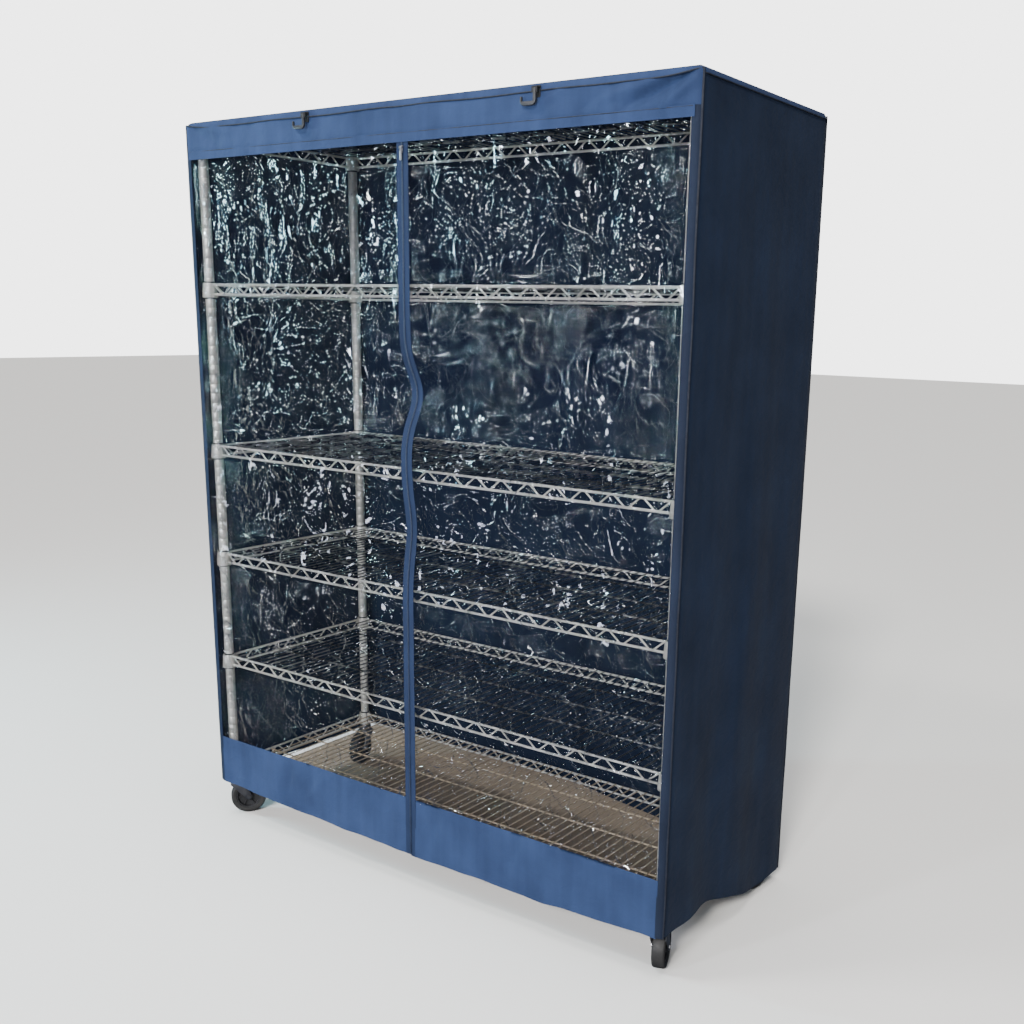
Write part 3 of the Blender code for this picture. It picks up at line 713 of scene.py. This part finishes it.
def roof_cloth():
    """The roof's panel: a flat grid whose margins are bent down round the edges, then trimmed along the seam."""
    shape = bmesh.new()
    flat = shape.loops.layers.uv.new("cloth")
    depth = (back_y - front_y) / 2
    margin = roof_drop + 0.012
    bmesh.ops.create_grid(shape, x_segments=150, y_segments=64, size=1)
    bmesh.ops.scale(shape, verts=shape.verts, vec=(half_width + margin, depth + margin, 1))
    for face in shape.faces:
        for loop in face.loops:
            loop[flat].uv = loop.vert.co.xy
    for vert in shape.verts:
        x, y = vert.co.x, vert.co.y
        core_x, core_y = min(max(x, -front_run), front_run), min(max(y, bend - depth), depth - bend)
        over = Vector((x - core_x, y - core_y))
        angle = min(over.length / bend, math.pi / 2)
        way = over.normalized() if over.length else over
        out = way * bend * math.sin(angle)
        down = bend * (1 - math.cos(angle)) + max(0.0, over.length - bend * math.pi / 2)
        inner = math.cos(math.pi / 2 * x / half_width) * math.cos(math.pi / 2 * y / depth) if not over.length else 0
        sag = 0.0035 * max(inner, 0) ** 0.4 + 0.0015 * noise.noise(Vector((x * 9, y * 9, 4.0))) * max(inner, 0) ** 0.3
        vert.co = leant(Vector((core_x + out.x, middle_y + core_y + out.y, top_z - down - abs(sag))))
    seam = top_z - roof_drop
    bmesh.ops.bisect_plane(
        shape, geom=shape.verts[:] + shape.edges[:] + shape.faces[:], plane_co=(0, 0, seam), plane_no=(0, 0, -1),
        clear_outer=True,
    )
    for vert in shape.verts:
        if vert.co.y < front_y + 0.001 and vert.co.z < top_z - 0.6 * roof_drop:
            vert.co.z += seam_rise(vert.co.x) * (top_z - 0.6 * roof_drop - vert.co.z) / (0.4 * roof_drop)
            vert.co.y += seam_rise(vert.co.x) * 0.2
    thickened(shape, 0.0012)
    return shape


def seam_rise(x):
    """How far the front seam is above its level height: pulled up at the corners, slack and wavy between them."""
    corner_pull = 0.011 * max(0.0, (abs(x) - half_width + 0.11) / 0.11) ** 1.6
    return corner_pull - 0.002 + 0.0025 * noise.noise(Vector((x * 6, 1.0, 0.0)))


piece = fit("cover_roof_cloth", roof_cloth(), BLUE, instead_of=["cover_roof"])

# ---------------------------------------------------------------------------------------------------------------
# Front frame: the light blue band under the roof, creased on the slant where the corners pull at it, the narrow
# header strip that the vinyl hangs from, and a strip down each front post, beside a dark piped seam.

band_low, band_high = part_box("cover_top_band")
strip_low, strip_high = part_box("cover_header_strip")
panel_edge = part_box("vinyl_sewn_right")[1].x
band_folds = (
    ((0.745, -0.004), (0.57, -0.072), 0.011, -0.012),
    ((0.755, -0.020), (0.665, -0.078), 0.010, 0.008),
    ((0.70, -0.012), (0.50, -0.052), 0.011, 0.005),
    ((0.57, -0.016), (0.47, -0.072), 0.009, -0.003),
    ((0.45, -0.016), (0.30, -0.070), 0.010, 0.003),
    ((-0.745, -0.012), (-0.62, -0.066), 0.013, -0.004),
    ((-0.72, -0.010), (-0.55, -0.040), 0.012, 0.004),
    ((-0.52, -0.018), (-0.45, -0.070), 0.009, -0.0025),
)


def band_creases(run, height):
    """The corner folds, and a row of faint slanting creases along the rest of the band."""
    drop = top_z - height
    total = sum(fold(run, -drop, start, end, width, depth) for start, end, width, depth in band_folds)
    slant = math.sin((run + 0.55 * drop) * 118 + 3 * noise.noise(Vector((run * 3, 0.0, 1.0))))
    patch = max(0.0, noise.noise(Vector((run * 2.3, 0.0, 7.0))) + 0.35)
    return total + 0.0012 * slant * patch + 0.0030 * noise.noise(Vector((run * 7, drop * 9, 3.0)))


def band_head(run):
    return top_z - roof_drop + seam_rise(min(abs(run), half_width)) + 0.0015


wall = panel(
    (-front_seam, front_seam), lambda run: band_low.z, band_head, 0.005, band_creases,
)
piece = fit("front_band", wall, BLUE, instead_of=["cover_top_band"])


def strip_lift(run, height):
    return 0.0026 + 0.0012 * noise.noise(Vector((run * 12, height * 30, 6.0)))


wall = panel(
    (-panel_edge - 0.004, panel_edge + 0.004), lambda run: strip_low.z - 0.001, lambda run: band_low.z + 0.003, 0.006,
    strip_lift,
)
piece = fit("header_strip", wall, BLUE, instead_of=["cover_header_strip"])


def edge_lift(run, height):
    return 0.0012 + 0.0022 * noise.noise(Vector((run * 14, height * 5, 11.0)))


for side, name, cloth, slot in ((-1, "left", NAVY, "navy_fabric"), (1, "right", STRIP_BLUE, "blue_fabric")):
    runs = sorted((side * (panel_edge - 0.003), side * front_seam))
    wall = panel(runs, hem, lambda run: band_low.z + 0.002, 0.005, edge_lift)
    piece = fit(f"corner_strip_{name}", wall, cloth, instead_of=[f"cover_corner_strip_{name}"])

# ---------------------------------------------------------------------------------------------------------------
# Piping: a dark cord in a folded strip, sewn into the seams down the four corners and round the roof.


def piping(name, route, radius):
    """A round cord along a route."""
    line = bpy.data.curves.new(name, "CURVE")
    line.dimensions = "3D"
    line.bevel_depth = radius
    line.bevel_resolution = 2
    line.use_fill_caps = True
    spline = line.splines.new("POLY")
    spline.points.add(len(route) - 1)
    for point, place in zip(spline.points, route):
        point.co = (*place, 1)
    guide = bpy.data.objects.new(name, line)
    bpy.context.scene.collection.objects.link(guide)
    bpy.context.view_layer.update()
    made = bpy.data.meshes.new_from_object(guide.evaluated_get(bpy.context.evaluated_depsgraph_get()))
    bpy.data.objects.remove(guide)
    shape = bmesh.new()
    shape.from_mesh(made)
    bpy.data.meshes.remove(made)
    bmesh.ops.remove_doubles(shape, verts=shape.verts, dist=1e-6)
    bmesh.ops.recalc_face_normals(shape, faces=shape.faces)
    return shape


PIPING = hard_finish("piping_cord", (0.0015, 0.0035, 0.011), (0.004, 0.008, 0.020), (0.6, 0.85), 0.0, 90)
for side, name in ((-1, "left"), (1, "right")):
    for run, where in ((front_seam, "front"), (rear_seam, "rear")):
        route = []
        for step in range(90):
            height = hem(side * run) + (top_z - roof_drop * 0.5 - hem(side * run)) * step / 89
            sway = 0.0012 * noise.noise(Vector((run, height * 7, side)))
            route.append(on_wall(side * (run + sway), height, 0.0008))
        fit(f"piping_{where}_{name}", piping("cord", route, 0.0026), PIPING)

# The band's lower seam: a thin dark cord, partly the real seam and partly a painted shadow line under the band's edge.
seam = [on_wall(share / 100 * panel_edge, band_low.z + 0.0005, 0.0018) for share in range(-100, 101)]
fit("seam_cord_and_painted_shadow", piping("cord", seam, 0.0012), PIPING)

for name, start, end in (
    ("right", front_seam, rear_seam), ("left", -front_seam, -rear_seam),
    ("front", -front_seam, front_seam), ("back_right", rear_seam, half_round), ("back_left", -rear_seam, -half_round),
):
    route = []
    for step in range(120):
        run = start + (end - start) * step / 119
        rise = seam_rise(abs(run)) if name == "front" else 0
        route.append(on_wall(run, top_z - roof_drop + rise, 0.0012))
    fit(f"roof_piping_{name}", piping("cord", route, 0.0016), PIPING)

# ---------------------------------------------------------------------------------------------------------------
# The two front halves: thin clear vinyl sewn to the strips, a blue band along its foot, and a zip tape up its free
# edge. On the real cover each half opens by folding on the slant from the top of the zip to its outer foot; here both
# are built closed and are not hinged. The vinyl was stored folded, so it is crumpled all over, most of all near the
# top, and the zip is sucked in between two shelves.

tape_low, tape_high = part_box("zip_tape_left")
slit_top = tape_high.z
bottom_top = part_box("bottom_band_left")[1].z
tape_width = 0.0175


def cave(run, height):
    """How far the front is sucked in beside the zip, between the shelves."""
    drop = top_z - height
    deep = 0.043 * math.exp(-(((drop - 0.655) / 0.075) ** 2)) + 0.017 * math.exp(-(((drop - 0.98) / 0.09) ** 2))
    return -deep * math.exp(-((run / 0.16) ** 2))


def crumple(run, height):
    """Hanging folds, large buckles and a mesh of sharp creases, strongest near the top."""
    drop = (slit_top - height) / (slit_top - bottom_top)
    edge = min(1.0, (panel_edge - abs(run)) / 0.05, max(0.0, slit_top - height) / 0.03 + 0.1)
    edge = min(edge, max(0.0, height - bottom_top) / 0.04 + 0.15, (abs(run) - 0.5 * tape_width) / 0.05 + 0.1)
    where = Vector((run * 5.2, height * 3.1, 20.0))
    warp = noise.noise_vector(where * 0.8) * 0.55
    buckle = noise.noise(where + warp) * 0.009
    sharp = Vector((run * 15, height * 9.5, 31.0)) + warp * 2.2
    ridge = (1 - abs(noise.noise(sharp))) ** 3 * 0.0062
    small = Vector((run * 38, height * 27, 47.0)) + warp * 5.0
    fine = (1 - abs(noise.noise(small))) ** 3 * 0.0024
    finest = noise.noise(Vector((run * 85, height * 66, 57.0)) + warp * 7.0) * 0.0008
    busy = 0.55 + 0.45 * math.exp(-3 * drop) + 0.35 * noise.noise(Vector((run * 3, height * 2.4, 60.0)))
    hang = math.sin(run * 42 + 4 * noise.noise(Vector((run * 2, height * 0.7, 71.0)))) * 0.0035
    return cave(run, height) + max(edge, 0.0) * (buckle + hang - 0.006 + max(busy, 0.1) * (ridge + fine + finest))


def sharp_creases():
    """A node group for the creases of crumpled film: narrow raised lines with flat film between them."""
    group = bpy.data.node_groups.new("sharp_creases", "ShaderNodeTree")
    for name in ("Scale", "Width", "Height"):
        group.interface.new_socket(name, in_out="INPUT", socket_type="NodeSocketFloat")
    group.interface.new_socket("Height", in_out="OUTPUT", socket_type="NodeSocketFloat")
    nodes, links = group.nodes, group.links
    given, result = nodes.new("NodeGroupInput"), nodes.new("NodeGroupOutput")
    cut, cloud = nodes.new("ShaderNodeUVMap"), nodes.new("ShaderNodeTexNoise")
    cut.uv_map = "cloth"
    cloud.inputs["Detail"].default_value, cloud.inputs["Distortion"].default_value = 1.0, 1.2
    line, tall = nodes.new("ShaderNodeMapRange"), nodes.new("ShaderNodeMath")
    tall.operation = "MULTIPLY"
    level, size = nodes.new("ShaderNodeMath"), nodes.new("ShaderNodeMath")
    level.operation, size.operation = "SUBTRACT", "ABSOLUTE"
    level.inputs[1].default_value = 0.5
    line.interpolation_type = "SMOOTHSTEP"
    line.inputs["To Min"].default_value, line.inputs["To Max"].default_value = 1.0, 0.0
    links.new(cut.outputs["UV"], cloud.inputs["Vector"])
    links.new(given.outputs["Scale"], cloud.inputs["Scale"])
    links.new(cloud.outputs["Fac"], level.inputs[0])
    links.new(level.outputs["Value"], size.inputs[0])
    links.new(size.outputs["Value"], line.inputs["Value"])
    links.new(given.outputs["Width"], line.inputs["From Max"])
    links.new(line.outputs["Result"], tall.inputs[0])
    links.new(given.outputs["Height"], tall.inputs[1])
    links.new(tall.outputs["Value"], result.inputs["Height"])
    return group


CREASES = sharp_creases()


def clear_vinyl():
    """Thin clear sheet: it lets most light straight through with a faint cool tint, and glints on every crease."""
    material = bpy.data.materials.new("clear_vinyl")
    material.use_nodes = True
    nodes, links = material.node_tree.nodes, material.node_tree.links
    gloss = nodes["Principled BSDF"]
    gloss.inputs["Metallic"].default_value = 1.0
    gloss.inputs["Base Color"].default_value = (0.93, 0.97, 1.0, 1)
    gloss.inputs["Roughness"].default_value = 0.045
    through, mix = nodes.new("ShaderNodeBsdfTransparent"), nodes.new("ShaderNodeMixShader")
    through.inputs["Color"].default_value = (0.84, 0.86, 0.88, 1)
    bump = nodes.new("ShaderNodeBump")
    bump.inputs["Distance"].default_value = 0.001
    total = None
    for scale, width, height in ((7.0, 0.045, 4.2), (15.0, 0.045, 2.3), (30.0, 0.050, 1.2)):
        crease = nodes.new("ShaderNodeGroup")
        crease.node_tree = CREASES
        crease.inputs["Scale"].default_value, crease.inputs["Width"].default_value = scale, width
        crease.inputs["Height"].default_value = height
        if total:
            both = nodes.new("ShaderNodeMath")
            links.new(total, both.inputs[0])
            links.new(crease.outputs["Height"], both.inputs[1])
            total = both.outputs["Value"]
        else:
            total = crease.outputs["Height"]
    links.new(total, bump.inputs["Height"])
    links.new(bump.outputs["Normal"], gloss.inputs["Normal"])
    angle = nodes.new("ShaderNodeFresnel")
    angle.inputs["IOR"].default_value = 1.6
    links.new(bump.outputs["Normal"], angle.inputs["Normal"])
    links.new(angle.outputs["Fac"], mix.inputs["Fac"])
    links.new(through.outputs[0], mix.inputs[1])
    links.new(gloss.outputs[0], mix.inputs[2])
    links.new(mix.outputs[0], nodes["Material Output"].inputs["Surface"])
    return material


VINYL = clear_vinyl()
ZIP_NYLON = hard_finish("zip_nylon", (0.008, 0.015, 0.036), (0.014, 0.024, 0.052), (0.4, 0.55), 0.0, 120)
TAPE_BLUE = canvas("tape_canvas", (0.0055, 0.0125, 0.0360), (0.0100, 0.0205, 0.0560), 0.001)


def band_lift(side):
    """The bottom band's shape: dents and slanting pulls, and a slack, wandering hem."""

    def lift(run, height):
        share = (bottom_top - height) / (bottom_top - hem_z)
        dents = fold(run, height, (0.36, bottom_top), (0.30, hem_z + 0.01), 0.020, -0.006)
        dents += fold(run, height, (-0.44, bottom_top), (-0.50, hem_z), 0.018, -0.005)
        dents += fold(run, height, (-0.30, bottom_top - 0.01), (-0.40, hem_z + 0.02), 0.016, 0.005)
        dents += fold(run, height, (0.10, bottom_top), (0.05, hem_z), 0.016, -0.005)
        sway = noise.noise(Vector((run * 4.5, height * 3, 80.0 + side))) * 0.008
        ripple = noise.noise(Vector((run * 15, height * 9, 84.0))) * 0.0028
        edge = min(1.0, (front_run - abs(run)) / 0.04)
        return 0.0012 + max(edge, 0.0) * (dents + sway * (0.3 + 0.7 * share) + ripple)

    return lift


for side, name in ((-1, "left"), (1, "right")):
    joint = next(j for j in frame["joints"] if j["name"] == f"{name}_flap_fold")
    along = Vector(joint["axis"])
    along *= -math.copysign(1, along.z)

    runs = sorted((side * (tape_width - 0.004), side * (panel_edge + 0.002)))
    sheet = panel(runs, lambda run: bottom_top - 0.004, lambda run: strip_low.z + 0.004, 0.0068, crumple, thickness=0)
    bmesh.ops.reverse_faces(sheet, faces=[f for f in sheet.faces if f.normal.y > 0])
    piece = fit(f"vinyl_{name}", sheet, VINYL, None, [f"vinyl_sewn_{name}", f"vinyl_free_{name}"], 180)
    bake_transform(piece)

    step_down = 0.0 if side < 0 else 0.003
    runs = sorted((side * (tape_width - 0.003), side * (panel_edge - 0.001)))
    shape_of = band_lift(side)
    wall = panel(runs, lambda run: hem(run) - step_down, lambda run: bottom_top, 0.008, shape_of)
    piece = fit(f"bottom_band_cloth_{name}", wall, BLUE, None, [f"bottom_band_{name}"])
    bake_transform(piece)

    def tape_lift(run, height):
        return 0.0008 + cave(run, height) + 0.0007 * noise.noise(Vector((run * 30, height * 22, 90.0)))

    runs = sorted((side * 0.0004, side * tape_width))
    wall = panel(
        runs, lambda run: hem(run) - 0.001 - step_down, lambda run: slit_top + 0.002, 0.004, tape_lift, 0.0010
    )
    nodes = [f"zip_tape_{name}"] + (["zip_tape_right_top"] if side > 0 else [])
    piece = fit(f"zip_tape_cloth_{name}", wall, TAPE_BLUE, None, nodes)
    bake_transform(piece)

    coil = bmesh.new()
    pitch = 0.0030
    teeth = int((slit_top - hem(0) - 0.004) / pitch)
    for tooth in range(teeth):
        height = slit_top - 0.002 - (tooth + (0.5 if side > 0 else 0.0)) * pitch
        centre = Vector((side * 0.0011, front_y - 0.0016 - cave(0, height), height))
        slope = Matrix.Rotation(side * 0.3, 4, "Y")
        bmesh.ops.create_cube(
            coil, size=1, matrix=Matrix.Translation(centre) @ slope @ Matrix.Diagonal((0.0034, 0.0014, 0.0014, 1))
        )
    piece = fit(f"zip_coil_{name}", coil, ZIP_NYLON, None)
    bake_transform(piece)

# ---------------------------------------------------------------------------------------------------------------
# Zip slider: a small plated body that rides in front of the coils, closed at the top, with a pull tab on its pin.

low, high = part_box("zip_slider")
slider = bmesh.new()
body_back, body_front = high.y - 0.0002, high.y - 0.0034
cube = bmesh.ops.create_cube(slider, size=1)["verts"]
bmesh.ops.scale(slider, verts=cube, vec=(high.x - low.x, body_back - body_front, high.z - low.z))
bmesh.ops.translate(slider, verts=cube, vec=(0, (body_front + body_back) / 2, (low.z + high.z) / 2))
for vert in cube:
    if vert.co.z < (low.z + high.z) / 2:
        vert.co.x *= 0.68
bmesh.ops.bevel(slider, geom=slider.edges[:], offset=0.0008, offset_type="OFFSET", segments=2, profile=0.5,
                affect="EDGES", material=-1)
pin_low, pin_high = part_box("zip_pull_tab")
pin = Vector((0, pin_high.y - 0.0018, pin_high.z - 0.0018))
for side in (-1, 1):
    ear = bmesh.ops.create_cube(slider, size=1)["verts"]
    bmesh.ops.scale(slider, verts=ear, vec=(0.0011, body_front - pin.y + 0.002, 0.0042))
    bmesh.ops.translate(slider, verts=ear, vec=(side * 0.0038, (body_front + pin.y) / 2, pin.z))
bar(slider, (-0.0036, pin.y, pin.z), (0.0036, pin.y, pin.z), 0.0008)
fit("plated_slider", slider, ZINC, "zip_slider_body", ["zip_slider"])

tab = bmesh.new()
half, foot = 0.0033, -0.028
outline = [(-0.0022, 0.0008), (-0.0022, -0.006), (-half, -0.009), *arc((0, foot + half), half, 180, 360, 11),
           (half, -0.009), (0.0022, -0.006), (0.0022, 0.0008)]
rounded_plate(tab, outline, 0.0013, Matrix.Translation(pin) @ Matrix.Rotation(math.pi / 2, 4, "X"), 0.0003)
fit("plated_pull_tab", tab, ZINC, "zip_pull", ["zip_pull_tab"])

# ---------------------------------------------------------------------------------------------------------------
# Hooks: two black moulded hooks that hold the opened front, each hanging from a webbing loop in the roof's seam.

WEBBING = canvas("black_webbing", (0.010, 0.010, 0.011), (0.020, 0.020, 0.022), 0.001)
for name in ("left", "right"):
    low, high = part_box(f"flap_hook_{name}")
    right, bar_wide, width, height = 0.007, 0.007, high.x - low.x, high.z - low.z
    left, turned_in = right - width, 0.010
    outer = [(right, 0), *arc((right - turned_in, turned_in - height), turned_in, 0, -90, 8),
             *arc((left + turned_in, turned_in - height), turned_in, -90, -180, 8), (left, -0.45 * height)]
    inner = [(left + 0.6 * bar_wide, -0.45 * height), (left + 0.6 * bar_wide, 1.2 * bar_wide - height),
             (0, 1.2 * bar_wide - height), (0, 0)]
    shank = Matrix.Translation((high.x - right, (low.y + high.y) / 2, high.z)) @ Matrix.Rotation(math.pi / 2, 4, "X")
    hook = bmesh.new()
    rounded_plate(hook, outer + inner, high.y - low.y, shank, 0.0012)
    fit(f"moulded_hook_{name}", hook, BLACK_PLASTIC, instead_of=[f"flap_hook_{name}"])

    low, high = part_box(f"hook_loop_{name}")
    loop = bmesh.new()
    cut = loop.loops.layers.uv.new("cloth")
    eye_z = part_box(f"flap_hook_{name}")[1].z
    for size, place in (
        ((high.x - low.x, high.y - low.y, 0.0022), ((low.x + high.x) / 2, (low.y + high.y) / 2, eye_z + 0.0022)),
        ((high.x - low.x, 0.0018, high.z - low.z), ((low.x + high.x) / 2, high.y - 0.0010, (low.z + high.z) / 2)),
        ((high.x - low.x, 0.0018, 0.012), ((low.x + high.x) / 2, low.y + 0.0010, eye_z - 0.003)),
    ):
        strap = bmesh.ops.create_cube(loop, size=1)["verts"]
        bmesh.ops.scale(loop, verts=strap, vec=size)
        bmesh.ops.translate(loop, verts=strap, vec=place)
    bmesh.ops.bevel(loop, geom=loop.edges[:], offset=0.0005, offset_type="OFFSET", segments=2, profile=0.5,
                    affect="EDGES", material=-1)
    for face in loop.faces:
        for corner_of in face.loops:
            corner_of[cut].uv = (corner_of.vert.co.x, corner_of.vert.co.z)
    fit(f"webbing_loop_{name}", loop, WEBBING, instead_of=[f"hook_loop_{name}"])
